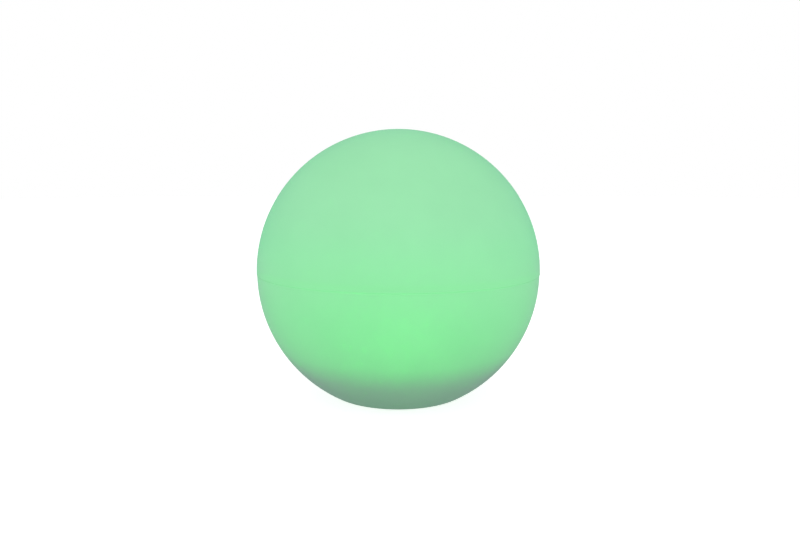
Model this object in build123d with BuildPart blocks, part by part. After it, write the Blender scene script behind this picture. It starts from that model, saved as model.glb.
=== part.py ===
"""Cordless table lamp: a translucent ball on a flat base, with a twist-out light module inside.

Millimetres, +Z up. The origin is the middle of the flat ring that the ball stands on.
"""

import os
from collections import namedtuple
from math import atan2, cos, degrees, hypot, radians, sin, sqrt

from build123d import *

# Ball
GLOBE_RADIUS = 125.0
GLOBE_WALL = 3.0
BASE_CORNER = 16.0
FOOT_RIM = 3.76
SEAM_STEP = 0.4
SEAM_BEVEL = 0.3
SEAM_TONGUE_THICK = 1.4
SEAM_TONGUE_HEIGHT = 4.0
SEAM_TONGUE_CLEARANCE = 0.15
RIM_BEVEL = 0.5

# Battery: two 18650 cells side by side
CELL_RADIUS = 9.2
CELL_LENGTH = 65.0
CELL_EDGE = 0.8
CELL_SPACING = 0.3
CELL_NUB_RADIUS = 2.8
CELL_NUB_HEIGHT = 0.6
TAB_THICK = 0.3
TAB_WIDTH = 4.0
TAB_STANDOFF = 0.35
PAD_THICK = 0.5
PAD_LENGTH = 56.0
PAD_WIDTH = 20.0
STRAP_THICK = 1.2
STRAP_WIDTH = 8.0
STRAP_X = -9.0
STRAP_EAR = 5.4
STRAP_BOARD_GAP = 0.6
STRAP_SIDE_GAP = 0.2
PROTECTION_START = 7.0
PROTECTION_LENGTH = 17.0
PROTECTION_THICK = 1.0
PROTECTION_HEIGHT = 7.0
TAB_SOLDER_LENGTH = 4.0

# Module housing
CORNER_CLEARANCE = 1.0
HOUSING_WALL = 2.5
FLANGE_THICK = 2.5
DECK_THICK = 2.0
POST_COUNT = 4
POST_ANGLE = 45.0
POST_RADIUS = 3.2
POST_WALL_GAP = 1.0
POST_HOLE_DEPTH = 12.0
CLAMP_BOSS_RADIUS = 2.7
CLAMP_BOSS_DROP = 1.5
LENS_BOSS_RADIUS = 2.4
LENS_BOSS_DROP = 3.0

# Bayonet
LUG_COUNT = 4
LUG_REACH = 3.2
LUG_HEIGHT = 3.0
LUG_HALF_ANGLE = 14.0
LUG_LIFT = 0.1
LUG_CLEARANCE = 0.4
LEDGE_CLEARANCE = 0.6
LEDGE_HEIGHT = 3.0
LEDGE_HALF_ANGLE = 18.0
TWIST = 45.0
STOP_GAP_ANGLE = 0.5
STOP_WIDTH_ANGLE = 3.5
RING_WALL = 6.0
RING_LIP = 0.9
RING_EAR_RADIUS = 4.5
RING_SCREW_COUNT = 4
RING_SCREW_OUT = 9.4
RING_SCREW_ANGLE = 45.0
RING_SCREW_LENGTH = 8.0
BOSS_RADIUS = 3.0
BOSS_INSET = 0.5
NECK_STEP = 0.4

# Seals
SEAL_EDGE = 0.6
SEAL_WIDTH = 2.6
SEAL_PROUD = 0.8
SEAL_ROUND = 0.5
GROOVE_DEPTH = 1.2
GROOVE_CLEARANCE = 0.1
GROOVE_LIP = 0.7
COVER_GASKET_THICK = 0.8
COVER_GASKET_EDGE = 1.5
COVER_GASKET_WIDTH = 4.0
LENS_GASKET_THICK = 0.8

# Base cover
COVER_LIFT = 1.2
COVER_THICK = 2.2
COVER_CLEARANCE = 0.6
COVER_BEVEL = 0.5
STANDOFF_RADIUS = 2.5
STANDOFF_HEIGHT = 4.6
STANDOFF_EDGE = 3.9
STANDOFF_ANGLE = 45.0
STANDOFF_COUNT = 4
GRIP_EDGE = 1.5
GRIP_LENGTH = 22.0
GRIP_WIDTH = 11.0
GRIP_DEPTH = 3.0
GRIP_WALL = 1.5
GRIP_BEVEL = 0.6

# Boards
BOARD_EDGE = 0.1
BOARD_POST_GAP = 0.8
BOARD_THICK = 1.6
SPREADER_THICK = 1.5
LED_BOARD_GAP = 1.2
LED_SIZE = 5.0
LED_HEIGHT = 1.5
LED_WINDOW_RADIUS = 2.0
LED_WINDOW_DEPTH = 0.4
LED_OUTER_COUNT = 12
LED_OUTER_CIRCLE = 18.0
LED_INNER_COUNT = 5
LED_INNER_CIRCLE = 8.5
LED_SCREW_EDGE = 5.4
LED_SCREW_COUNT = 4
LED_SCREW_LENGTH = 4.9

# Lens over the light board
LENS_FLANGE_WIDTH = 7.0
LENS_WALL = 2.0
LENS_FLANGE_THICK = 1.8
LENS_RISE = 15.0
LENS_EDGE_GAP = 0.4
LENS_SCREW_LENGTH = 6.0
LENS_SCREW_COUNT = 4

# Button and its switch
BUTTON_Y = 13.0
BUTTON_RADIUS = 8.0
BUTTON_CLEARANCE = 0.3
BUTTON_SINK = 0.2
BUTTON_LIP = 1.5
BUTTON_LIP_THICK = 0.8
BUTTON_LIP_GAP = 0.1
BUTTON_EDGE = 0.6
BUTTON_TRAVEL = 0.6
SWITCH_SIZE = 6.2
SWITCH_TRAVEL_GAP = 0.1
STEM_RADIUS = 1.75
STEM_ENGAGE = 1.2
STEM_CLEARANCE = 0.3
STEM_TOP_GAP = 0.4

# Charging port and its door
PORT_Y = -14.0
SOCKET_WIDTH = 9.0
SOCKET_DEPTH = 3.2
SOCKET_LENGTH = 6.5
SOCKET_WALL = 0.3
SOCKET_BOARD_GAP = 0.2
SOCKET_TAB_REACH = 1.4
SOCKET_TAB_WIDTH = 1.8
CONTACT_WIDTH = 6.7
CONTACT_PLATE = 0.7
CONTACT_BLOCK = 1.6
CONTACT_SINK = 0.7
CONTACT_CLEARANCE = 0.05
PORT_MARGIN = 1.2
PORT_WALL = 1.5
PORT_BOARD_GAP = 0.8
DOOR_HALF_WIDTH = 8.5
DOOR_THICK = 1.4
DOOR_TIP = 4.8
DOOR_GAP = 0.4
DOOR_SEAT_GAP = 0.1
HINGE_OFFSET = 6.6
BARREL_RADIUS = 1.2
BARREL_HALF_LENGTH = 5.0
BARREL_SIDE_GAP = 0.3
BARREL_TOP_GAP = 0.4
BARREL_SWING_GAP = 0.8
STUB_RADIUS = 0.7
STUB_LENGTH = 2.0
STUB_CLEARANCE = 0.05
LINK_HALF_WIDTH = 4.6
LINK_REACH = 2.2
HINGE_PAD_MARGIN = 1.6
HINGE_PAD_WALL = 1.2
PLUG_CLEARANCE = 0.4
PLUG_HEIGHT = 1.6
SOCKET_PLUG_GAP = 0.3
NAIL_RADIUS = 4.0

# Charge indicator
PIPE_X = 13.0
PIPE_RADIUS = 1.4
PIPE_CLEARANCE = 0.05
PIPE_LIP = 0.8
PIPE_LIP_THICK = 0.8
PIPE_BOARD_GAP = 1.1
INDICATOR_HEIGHT = 0.8
INDICATOR_LENGTH = 1.6
INDICATOR_WIDTH = 0.8

# Parts soldered under the control board
COIL_X = -17.0
COIL_Y = -8.0
COIL_SIZE = 7.0
COIL_HEIGHT = 3.6
CONTROLLER_X = -15.0
CONTROLLER_Y = 1.5
CONTROLLER_LENGTH = 6.0
CONTROLLER_WIDTH = 5.0
CONTROLLER_HEIGHT = 1.6
CHARGER_X = 18.0
CHARGER_Y = 7.0
CHARGER_SIZE = 4.0
CHARGER_HEIGHT = 1.0
DRIVER_X = 16.75
DRIVER_Y = -10.0
DRIVER_PITCH = 4.5
DRIVER_SIZE = 3.0
DRIVER_HEIGHT = 1.1
RESISTOR_X = -17.2
RESISTOR_Y = 8.0
RESISTOR_COUNT = 7
RESISTOR_PITCH = 1.6
RESISTOR_WIDTH = 0.8
RESISTOR_LENGTH = 1.6
RESISTOR_HEIGHT = 0.5
CAPACITOR_X = -16.5
CAPACITOR_Y = 12.0
CAPACITOR_COUNT = 4
CAPACITOR_PITCH = 3.0
CAPACITOR_WIDTH = 1.6
CAPACITOR_LENGTH = 3.2
CAPACITOR_HEIGHT = 1.2

# Wiring
HEADER_DEPTH = 4.6
HEADER_HEIGHT = 4.5
LED_HEADER_X = 9.5
LED_HEADER_LENGTH = 8.0
LED_WIRE_COUNT = 5
LED_WIRE_PITCH = 1.4
LED_WIRE_RADIUS = 0.5
LED_WIRE_RISE = 4.0
LED_SLOT_EDGE = 1.1
LED_WIRE_SLANT = 5.0
LED_WIRE_LOOP = 1.4
LED_WIRE_BACK = 4.6
LED_WIRE_BEND = 1.2
WIRE_SLOT_MARGIN = 1.2
BATTERY_HEADER_X = 9.25
BATTERY_HEADER_LENGTH = 7.0
BATTERY_WIRE_PITCH = 2.5
BATTERY_WIRE_RADIUS = 0.75
BATTERY_WIRE_BEND = 2.0
BATTERY_WIRE_RUN = 1.7

# Screws: shank radius, head radius and head height
ScrewSize = namedtuple("ScrewSize", "shank head rise")
M3_FLAT = ScrewSize(1.5, 3.0, 1.5)
M25_PAN = ScrewSize(1.25, 2.2, 1.5)
M2_PAN = ScrewSize(1.0, 1.9, 1.2)
SCREW_CLEARANCE = 0.05
SCREW_TIP_GAP = 0.5
CROSS_WIDTH = 0.6
CROSS_REACH = 0.62
CROSS_DEPTH = 0.8
COVER_SCREW_LENGTH = 10.0
BOARD_SCREW_LENGTH = 5.0
CLAMP_SCREW_LENGTH = 3.8

# Heights that follow from the stack
cover_top = COVER_LIFT + COVER_THICK
flange_bottom = cover_top + COVER_GASKET_THICK
flange_top = flange_bottom + FLANGE_THICK
recess_roof = flange_top + SEAL_PROUD
floor_top = recess_roof + GLOBE_WALL
ledge_top = floor_top + LEDGE_HEIGHT
lug_bottom = ledge_top + LUG_LIFT
ring_top = lug_bottom + LUG_HEIGHT + RING_LIP
board_bottom = cover_top + STANDOFF_HEIGHT
board_top = board_bottom + BOARD_THICK
strap_bottom = board_top + STRAP_BOARD_GAP
strap_top = strap_bottom + STRAP_THICK
cell_height = strap_top + CELL_RADIUS
deck_bottom = cell_height + CELL_RADIUS + PAD_THICK
deck_top = deck_bottom + DECK_THICK
spreader_top = deck_top + SPREADER_THICK
led_board_top = spreader_top + BOARD_THICK
lens_bottom = deck_top + LENS_GASKET_THICK
lens_flange_top = lens_bottom + LENS_FLANGE_THICK
ear_top = deck_bottom - CLAMP_BOSS_DROP
ear_bottom = ear_top - STRAP_THICK
header_top = board_top + HEADER_HEIGHT

# Radii and places that follow from the fits
lower_radius = GLOBE_RADIUS - SEAM_STEP
cell_y = CELL_RADIUS + CELL_SPACING / 2
pack_half = cell_y + CELL_RADIUS
tab_side = pack_half + TAB_STANDOFF
tab_outside = tab_side + TAB_THICK
plus_end = CELL_LENGTH / 2 + CELL_NUB_HEIGHT
header_y = tab_outside + PROTECTION_THICK + BATTERY_WIRE_BEND + BATTERY_WIRE_RUN
board_radius = hypot(LED_HEADER_X + LED_HEADER_LENGTH / 2, header_y + HEADER_DEPTH / 2) + BOARD_EDGE
standoff_circle = board_radius - STANDOFF_EDGE
pack_reach = hypot(plus_end + TAB_THICK, tab_outside) + CORNER_CLEARANCE
post_reach = board_radius + BOARD_POST_GAP + 2 * POST_RADIUS + POST_WALL_GAP
housing_bore = max(pack_reach, post_reach)
housing_radius = housing_bore + HOUSING_WALL
lug_radius = housing_radius + LUG_REACH
ring_bore = lug_radius + LUG_CLEARANCE
ring_radius = ring_bore + RING_WALL
ring_screw_circle = ring_radius + RING_SCREW_OUT
ledge_radius = housing_radius + LEDGE_CLEARANCE
neck_radius = ring_bore + NECK_STEP
seal_inner = neck_radius + SEAL_EDGE
seal_outer = seal_inner + SEAL_WIDTH
flange_radius = seal_outer + GROOVE_CLEARANCE + GROOVE_LIP
recess_radius = flange_radius + COVER_CLEARANCE
corner_reach = recess_radius + FOOT_RIM
centre_height = BASE_CORNER + sqrt((lower_radius - BASE_CORNER) ** 2 - corner_reach**2)
corner_angle = degrees(atan2(BASE_CORNER - centre_height, corner_reach))
cover_gasket_inner = housing_radius + COVER_GASKET_EDGE
post_circle = housing_bore - POST_RADIUS - POST_WALL_GAP
grip_x = housing_bore - GRIP_EDGE - GRIP_WALL - GRIP_WIDTH / 2
lens_flange_radius = housing_radius - LENS_EDGE_GAP
lens_bore = lens_flange_radius - LENS_FLANGE_WIDTH
led_board_radius = lens_bore - LED_BOARD_GAP
led_screw_circle = led_board_radius - LED_SCREW_EDGE
lens_radius = (lens_bore**2 + LENS_RISE**2) / (2 * LENS_RISE)
lens_centre = lens_flange_top + LENS_RISE - lens_radius
lens_edge = sqrt((lens_radius + LENS_WALL) ** 2 - (lens_radius - LENS_RISE) ** 2)
lens_angle = degrees(atan2(lens_bore, lens_radius - LENS_RISE))
lens_edge_angle = degrees(atan2(lens_edge, lens_radius - LENS_RISE))
lens_screw_circle = (lens_edge + lens_flange_radius) / 2
strap_leg = tab_outside + STRAP_SIDE_GAP
strap_side = strap_leg + STRAP_THICK
clamp_y = strap_side + STRAP_EAR / 2
hinge_y = PORT_Y - HINGE_OFFSET
hinge_z = COVER_LIFT + BARREL_RADIUS
door_top = COVER_LIFT + DOOR_THICK
door_tip = PORT_Y + DOOR_TIP
plug_top = door_top + PLUG_HEIGHT
socket_mouth = plug_top + SOCKET_PLUG_GAP
socket_back = socket_mouth + SOCKET_LENGTH
port_width = SOCKET_WIDTH + 2 * PORT_MARGIN
port_depth = SOCKET_DEPTH + 2 * PORT_MARGIN
button_face = COVER_LIFT + BUTTON_SINK
button_lip_bottom = cover_top + BUTTON_LIP_GAP
button_top = button_lip_bottom + BUTTON_LIP_THICK
switch_bottom = button_top + BUTTON_TRAVEL + SWITCH_TRAVEL_GAP
stem_top = switch_bottom + STEM_ENGAGE
wire_slot_width = 2 * (LED_WIRE_RADIUS + WIRE_SLOT_MARGIN)
wire_slot_length = (LED_WIRE_COUNT - 1) * LED_WIRE_PITCH + wire_slot_width
slot_end_x = LED_HEADER_X + (LED_WIRE_COUNT - 1) * LED_WIRE_PITCH / 2
slot_end_reach = led_board_radius - LED_SLOT_EDGE - wire_slot_width / 2
led_wire_y = -sqrt(slot_end_reach**2 - slot_end_x**2)


def ring_of(circle, count, start=0.0):
    """Spreads places evenly on a circle about the lamp's axis."""
    turns = [radians(start + index * 360 / count) for index in range(count)]
    return [(circle * cos(turn), circle * sin(turn)) for turn in turns]


# Places of the fasteners
post_spots = ring_of(post_circle, POST_COUNT, POST_ANGLE)
standoff_spots = ring_of(standoff_circle, STANDOFF_COUNT, STANDOFF_ANGLE)
clamp_spots = [(STRAP_X, -clamp_y), (STRAP_X, clamp_y)]
led_screw_spots = ring_of(led_screw_circle, LED_SCREW_COUNT)
lens_screw_spots = ring_of(lens_screw_circle, LENS_SCREW_COUNT)
ring_screw_spots = ring_of(ring_screw_circle, RING_SCREW_COUNT, RING_SCREW_ANGLE)
lug_turns = [index * 360 / LUG_COUNT for index in range(LUG_COUNT)]
led_wire_places = [
    LED_HEADER_X + (index - (LED_WIRE_COUNT - 1) / 2) * LED_WIRE_PITCH for index in range(LED_WIRE_COUNT)
]
battery_wire_places = [BATTERY_HEADER_X - BATTERY_WIRE_PITCH / 2, BATTERY_HEADER_X + BATTERY_WIRE_PITCH / 2]

ON_TOP = (Align.CENTER, Align.CENTER, Align.MIN)
BELOW = (Align.CENTER, Align.CENTER, Align.MAX)


def at(spots, height):
    """Puts flat places at one height."""
    return [(x, y, height) for x, y in spots]


def lower_half(ball, corner, floor):
    """Draws the half section of the lower ball: ball arc, corner arc, flat floor and axis."""
    with BuildLine() as outline:
        side = CenterArc((0, centre_height), ball, 0, corner_angle)
        bend = CenterArc((corner_reach, BASE_CORNER), corner, corner_angle, -90 - corner_angle)
        Polyline(bend @ 1, (0, floor), (0, centre_height), side @ 0)
    make_face(outline.edges())


def sector(inner, outer, start, sweep_angle):
    """Draws a piece of a flat ring."""
    with BuildLine() as outline:
        near = CenterArc((0, 0), inner, start, sweep_angle)
        far = CenterArc((0, 0), outer, start, sweep_angle)
        Line(near @ 0, far @ 0)
        Line(near @ 1, far @ 1)
    make_face(outline.edges())


def band(inner, outer):
    """Draws a flat ring."""
    Circle(outer)
    Circle(inner, mode=Mode.SUBTRACT)


def pan_screws(spots, seat, way, size, length):
    """Adds screws whose heads stand on the seat, above it for way 1 and under it for way -1."""
    head_side = ON_TOP if way > 0 else BELOW
    shank_side = BELOW if way > 0 else ON_TOP
    with Locations(*at(spots, seat)):
        Cylinder(size.head, size.rise, align=head_side)
        Cylinder(size.shank, length, align=shank_side)
    with Locations(*at(spots, seat + way * size.rise)):
        for turn in (0, 90):
            Box(
                2 * size.head * CROSS_REACH,
                CROSS_WIDTH,
                CROSS_DEPTH,
                rotation=(0, 0, turn),
                align=shank_side,
                mode=Mode.SUBTRACT,
            )


def screw_holes(spots, start, way, radius, depth):
    """Cuts round holes from the start height, upward for way 1 and downward for way -1."""
    with Locations(*at(spots, start)):
        Cylinder(radius, depth, align=ON_TOP if way > 0 else BELOW, mode=Mode.SUBTRACT)


def wire(points, bend, radius):
    """Adds a round wire along straight runs joined by arcs."""
    with BuildLine() as route:
        FilletPolyline(*points, radius=bend)
    with BuildSketch(Plane(origin=route.line @ 0, z_dir=route.line % 0)) as section:
        Circle(radius)
    sweep(section.sketch, path=route.line)


# Upper half of the ball, with a rebate that takes the lower half's tongue
with BuildPart() as upper_globe:
    with BuildSketch(Plane.XZ):
        with BuildLine():
            outside = CenterArc((0, centre_height), GLOBE_RADIUS, 0, 90)
            inside = CenterArc((0, centre_height), GLOBE_RADIUS - GLOBE_WALL, 0, 90)
            Line(outside @ 0, inside @ 0)
            Line(outside @ 1, inside @ 1)
        make_face()
    revolve(axis=Axis.Z)
    with BuildSketch(Plane.XY.offset(centre_height)):
        Circle(lower_radius - GLOBE_WALL + SEAM_TONGUE_THICK + SEAM_TONGUE_CLEARANCE)
    extrude(amount=SEAM_TONGUE_HEIGHT + SEAM_TONGUE_CLEARANCE, mode=Mode.SUBTRACT)
    chamfer(upper_globe.edges().group_by(Axis.Z)[0].sort_by(SortBy.RADIUS)[-1], SEAM_BEVEL)

# Posts inside the lower half that take the bayonet ring's screws, trimmed to the ball's outside
with BuildPart() as ring_bosses:
    with BuildSketch(Plane.XY):
        with Locations(*ring_screw_spots):
            Circle(BOSS_RADIUS)
    extrude(amount=floor_top)
    with BuildSketch(Plane.XZ):
        lower_half(lower_radius - BOSS_INSET, BASE_CORNER - BOSS_INSET, BOSS_INSET)
    revolve(axis=Axis.Z, mode=Mode.INTERSECT)

# Lower half of the ball: flat standing ring, recess for the module's foot, neck and seam tongue
with BuildPart() as lower_globe:
    with BuildSketch(Plane.XZ):
        lower_half(lower_radius, BASE_CORNER, 0)
    revolve(axis=Axis.Z)
    with BuildSketch(Plane.XZ):
        lower_half(lower_radius - GLOBE_WALL, BASE_CORNER - GLOBE_WALL, GLOBE_WALL)
    revolve(axis=Axis.Z, mode=Mode.SUBTRACT)
    add(ring_bosses.part)
    Cylinder(recess_radius + GLOBE_WALL, floor_top, align=ON_TOP)
    Cylinder(recess_radius, recess_roof, align=ON_TOP, mode=Mode.SUBTRACT)
    Cylinder(neck_radius, floor_top, align=ON_TOP, mode=Mode.SUBTRACT)
    chamfer(lower_globe.edges().group_by(Axis.Z)[0].sort_by(SortBy.RADIUS)[0], RIM_BEVEL)
    chamfer(lower_globe.edges().group_by(Axis.Z)[-1].sort_by(SortBy.RADIUS)[-1], SEAM_BEVEL)
    with BuildSketch(Plane.XY.offset(centre_height)):
        band(lower_radius - GLOBE_WALL, lower_radius - GLOBE_WALL + SEAM_TONGUE_THICK)
    extrude(amount=SEAM_TONGUE_HEIGHT)
    screw_holes(
        ring_screw_spots,
        floor_top,
        -1,
        M25_PAN.shank + SCREW_CLEARANCE,
        RING_SCREW_LENGTH - LEDGE_HEIGHT + SCREW_TIP_GAP,
    )

# Bayonet ring: ledges that carry the module's lugs, and ribs that stop the twist at both ends
with BuildPart() as bayonet_ring:
    with BuildSketch(Plane.XY.offset(floor_top)):
        Circle(ring_radius)
        with Locations(*ring_screw_spots):
            Circle(RING_EAR_RADIUS)
        with PolarLocations(ring_screw_circle / 2, RING_SCREW_COUNT, start_angle=RING_SCREW_ANGLE):
            Rectangle(ring_screw_circle, 2 * RING_EAR_RADIUS)
        Circle(ring_bore, mode=Mode.SUBTRACT)
    extrude(amount=LEDGE_HEIGHT)
    with BuildSketch(Plane.XY.offset(floor_top)):
        band(ring_bore, ring_radius)
    extrude(amount=ring_top - floor_top)
    with BuildSketch(Plane.XY.offset(floor_top)):
        for turn in lug_turns:
            sector(ledge_radius, ring_bore, turn - LEDGE_HALF_ANGLE, 2 * LEDGE_HALF_ANGLE)
    extrude(amount=LEDGE_HEIGHT)
    with BuildSketch(Plane.XY.offset(floor_top)):
        for turn in lug_turns:
            sector(ledge_radius, ring_bore, turn + LUG_HALF_ANGLE + STOP_GAP_ANGLE, STOP_WIDTH_ANGLE)
            open_stop = turn - TWIST - LUG_HALF_ANGLE - STOP_GAP_ANGLE
            sector(ledge_radius, ring_bore, open_stop, -STOP_WIDTH_ANGLE)
    extrude(amount=ring_top - floor_top)
    screw_holes(ring_screw_spots, floor_top, 1, M25_PAN.shank + SCREW_CLEARANCE, LEDGE_HEIGHT)

with BuildPart() as ring_screws:
    pan_screws(ring_screw_spots, ledge_top, 1, M25_PAN, RING_SCREW_LENGTH)

# Housing of the light module: a pot turned upside down, open below, with the light deck on top
with BuildPart() as module_housing:
    with BuildSketch(Plane.XY.offset(flange_bottom)):
        Circle(flange_radius)
    extrude(amount=FLANGE_THICK)
    with BuildSketch(Plane.XY.offset(flange_bottom)):
        Circle(housing_radius)
    extrude(amount=deck_top - flange_bottom)
    with BuildSketch(Plane.XY.offset(flange_bottom)):
        Circle(housing_bore)
    extrude(amount=deck_bottom - flange_bottom, mode=Mode.SUBTRACT)
    with BuildSketch(Plane.XY.offset(flange_top)):
        band(seal_inner - GROOVE_CLEARANCE, seal_outer + GROOVE_CLEARANCE)
    extrude(amount=-GROOVE_DEPTH, mode=Mode.SUBTRACT)
    with BuildSketch(Plane.XY.offset(lug_bottom)):
        for turn in lug_turns:
            sector(housing_bore, lug_radius, turn - LUG_HALF_ANGLE, 2 * LUG_HALF_ANGLE)
    extrude(amount=LUG_HEIGHT)
    with Locations(*at(post_spots, cover_top)):
        Cylinder(POST_RADIUS, deck_top - cover_top, align=ON_TOP)
    with Locations(*at(clamp_spots, ear_top)):
        Cylinder(CLAMP_BOSS_RADIUS, deck_top - ear_top, align=ON_TOP)
    with Locations(*at(lens_screw_spots, deck_bottom - LENS_BOSS_DROP)):
        Cylinder(LENS_BOSS_RADIUS, DECK_THICK + LENS_BOSS_DROP, align=ON_TOP)
    screw_holes(post_spots, cover_top, 1, M3_FLAT.shank + SCREW_CLEARANCE, POST_HOLE_DEPTH)
    screw_holes(
        clamp_spots,
        ear_top,
        1,
        M2_PAN.shank + SCREW_CLEARANCE,
        CLAMP_SCREW_LENGTH - STRAP_THICK + SCREW_TIP_GAP,
    )
    screw_holes(
        lens_screw_spots,
        deck_top,
        -1,
        M2_PAN.shank + SCREW_CLEARANCE,
        DECK_THICK + LENS_BOSS_DROP - SCREW_TIP_GAP,
    )
    screw_holes(led_screw_spots, deck_top, -1, M25_PAN.shank + SCREW_CLEARANCE, DECK_THICK)
    with BuildSketch(Plane.XY.offset(deck_top)):
        with Locations((LED_HEADER_X, led_wire_y)):
            SlotOverall(wire_slot_length, wire_slot_width)
    extrude(amount=-DECK_THICK, mode=Mode.SUBTRACT)

# Ring seal in the housing's flange, pressed against the ball's floor
with BuildPart() as module_seal:
    with BuildSketch(Plane.XY.offset(flange_top - GROOVE_DEPTH)):
        band(seal_inner, seal_outer)
    extrude(amount=GROOVE_DEPTH + SEAL_PROUD)
    fillet(module_seal.edges(), SEAL_ROUND)

# Base cover: the underside of the lamp, with grips, button hole, port and the board's standoffs
with BuildPart() as base_cover:
    with BuildSketch(Plane.XY.offset(COVER_LIFT)):
        Circle(flange_radius)
    extrude(amount=COVER_THICK)
    chamfer(base_cover.edges().group_by(Axis.Z)[0], COVER_BEVEL)
    with BuildSketch(Plane.XY.offset(COVER_LIFT)):
        with Locations((-grip_x, 0), (grip_x, 0)):
            SlotOverall(GRIP_LENGTH + 2 * GRIP_WALL, GRIP_WIDTH + 2 * GRIP_WALL, rotation=90)
    extrude(amount=GRIP_DEPTH + GRIP_WALL)
    with BuildSketch(Plane.XY.offset(COVER_LIFT)):
        with Locations((-grip_x, 0), (grip_x, 0)):
            SlotOverall(GRIP_LENGTH, GRIP_WIDTH, rotation=90)
    extrude(amount=GRIP_DEPTH, mode=Mode.SUBTRACT)
    underside_edges = base_cover.edges().group_by(Axis.Z)[0]
    chamfer(underside_edges.filter_by(lambda edge: abs(edge.center().X) > grip_x / 2), GRIP_BEVEL)
    with Locations(*at(standoff_spots, cover_top)):
        Cylinder(STANDOFF_RADIUS, STANDOFF_HEIGHT, align=ON_TOP)
    screw_holes(standoff_spots, board_bottom, -1, M2_PAN.shank + SCREW_CLEARANCE, STANDOFF_HEIGHT)
    with Locations(*at(post_spots, COVER_LIFT)):
        Cylinder(M3_FLAT.shank + SCREW_CLEARANCE, COVER_THICK, align=ON_TOP, mode=Mode.SUBTRACT)
        Cone(
            M3_FLAT.head + SCREW_CLEARANCE,
            M3_FLAT.shank + SCREW_CLEARANCE,
            M3_FLAT.rise,
            align=ON_TOP,
            mode=Mode.SUBTRACT,
        )
    with Locations((0, BUTTON_Y, COVER_LIFT)):
        Cylinder(BUTTON_RADIUS + BUTTON_CLEARANCE, COVER_THICK, align=ON_TOP, mode=Mode.SUBTRACT)
    with Locations((PIPE_X, 0, COVER_LIFT)):
        Cylinder(PIPE_RADIUS + PIPE_CLEARANCE, COVER_THICK, align=ON_TOP, mode=Mode.SUBTRACT)
    with BuildSketch(Plane.XY.offset(cover_top)):
        with Locations((0, PORT_Y)):
            SlotOverall(port_width + 2 * PORT_WALL, port_depth + 2 * PORT_WALL)
    extrude(amount=STANDOFF_HEIGHT - PORT_BOARD_GAP)
    with BuildSketch(Plane.XY.offset(cover_top)):
        with Locations((0, hinge_y)):
            Rectangle(
                2 * (BARREL_HALF_LENGTH + STUB_LENGTH + HINGE_PAD_MARGIN),
                2 * (BARREL_RADIUS + BARREL_SWING_GAP + HINGE_PAD_MARGIN),
            )
    extrude(amount=hinge_z + BARREL_RADIUS + BARREL_TOP_GAP + HINGE_PAD_WALL - cover_top)
    with BuildSketch(Plane.XY.offset(COVER_LIFT)):
        with Locations((0, PORT_Y)):
            SlotOverall(port_width, port_depth)
    extrude(amount=board_bottom - COVER_LIFT, mode=Mode.SUBTRACT)
    with BuildSketch(Plane.XY.offset(COVER_LIFT)):
        with Locations((0, (hinge_y + LINK_REACH + door_tip) / 2)):
            Rectangle(
                2 * (DOOR_HALF_WIDTH + DOOR_GAP),
                door_tip - hinge_y - LINK_REACH + 2 * DOOR_GAP,
            )
        with Locations((0, door_tip)):
            Circle(NAIL_RADIUS)
    extrude(amount=DOOR_THICK + DOOR_SEAT_GAP, mode=Mode.SUBTRACT)
    with Locations((0, hinge_y - BARREL_RADIUS - BARREL_SWING_GAP, COVER_LIFT)):
        Box(
            2 * (BARREL_HALF_LENGTH + BARREL_SIDE_GAP),
            LINK_REACH + BARREL_RADIUS + BARREL_SWING_GAP,
            2 * BARREL_RADIUS + BARREL_TOP_GAP,
            align=(Align.CENTER, Align.MIN, Align.MIN),
            mode=Mode.SUBTRACT,
        )
    with Locations((0, hinge_y, hinge_z)):
        Cylinder(
            STUB_RADIUS + STUB_CLEARANCE,
            2 * (BARREL_HALF_LENGTH + STUB_LENGTH + BARREL_SIDE_GAP),
            rotation=(0, 90, 0),
            mode=Mode.SUBTRACT,
        )

with BuildPart() as cover_gasket:
    with BuildSketch(Plane.XY.offset(cover_top)):
        band(cover_gasket_inner, cover_gasket_inner + COVER_GASKET_WIDTH)
    extrude(amount=COVER_GASKET_THICK)

# Flat-head screws that close the cover against the housing's posts
with BuildPart() as cover_screws:
    with Locations(*at(post_spots, COVER_LIFT)):
        Cone(M3_FLAT.head, M3_FLAT.shank, M3_FLAT.rise, align=ON_TOP)
        Cylinder(M3_FLAT.shank, COVER_SCREW_LENGTH, align=ON_TOP)
        for turn in (0, 90):
            Box(
                2 * M3_FLAT.head * CROSS_REACH,
                CROSS_WIDTH,
                CROSS_DEPTH,
                rotation=(0, 0, turn),
                align=ON_TOP,
                mode=Mode.SUBTRACT,
            )

# Light board on its heat spreader
with BuildPart() as heat_spreader:
    with BuildSketch(Plane.XY.offset(deck_top)):
        Circle(led_board_radius)
        with Locations(*led_screw_spots):
            Circle(M25_PAN.shank + SCREW_CLEARANCE, mode=Mode.SUBTRACT)
        with Locations((LED_HEADER_X, led_wire_y)):
            SlotOverall(wire_slot_length, wire_slot_width, mode=Mode.SUBTRACT)
    extrude(amount=SPREADER_THICK)

with BuildPart() as led_board:
    with BuildSketch(Plane.XY.offset(spreader_top)):
        Circle(led_board_radius)
        with Locations(*led_screw_spots):
            Circle(M25_PAN.shank + SCREW_CLEARANCE, mode=Mode.SUBTRACT)
        with Locations((LED_HEADER_X, led_wire_y)):
            SlotOverall(wire_slot_length, wire_slot_width, mode=Mode.SUBTRACT)
    extrude(amount=BOARD_THICK)

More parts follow.
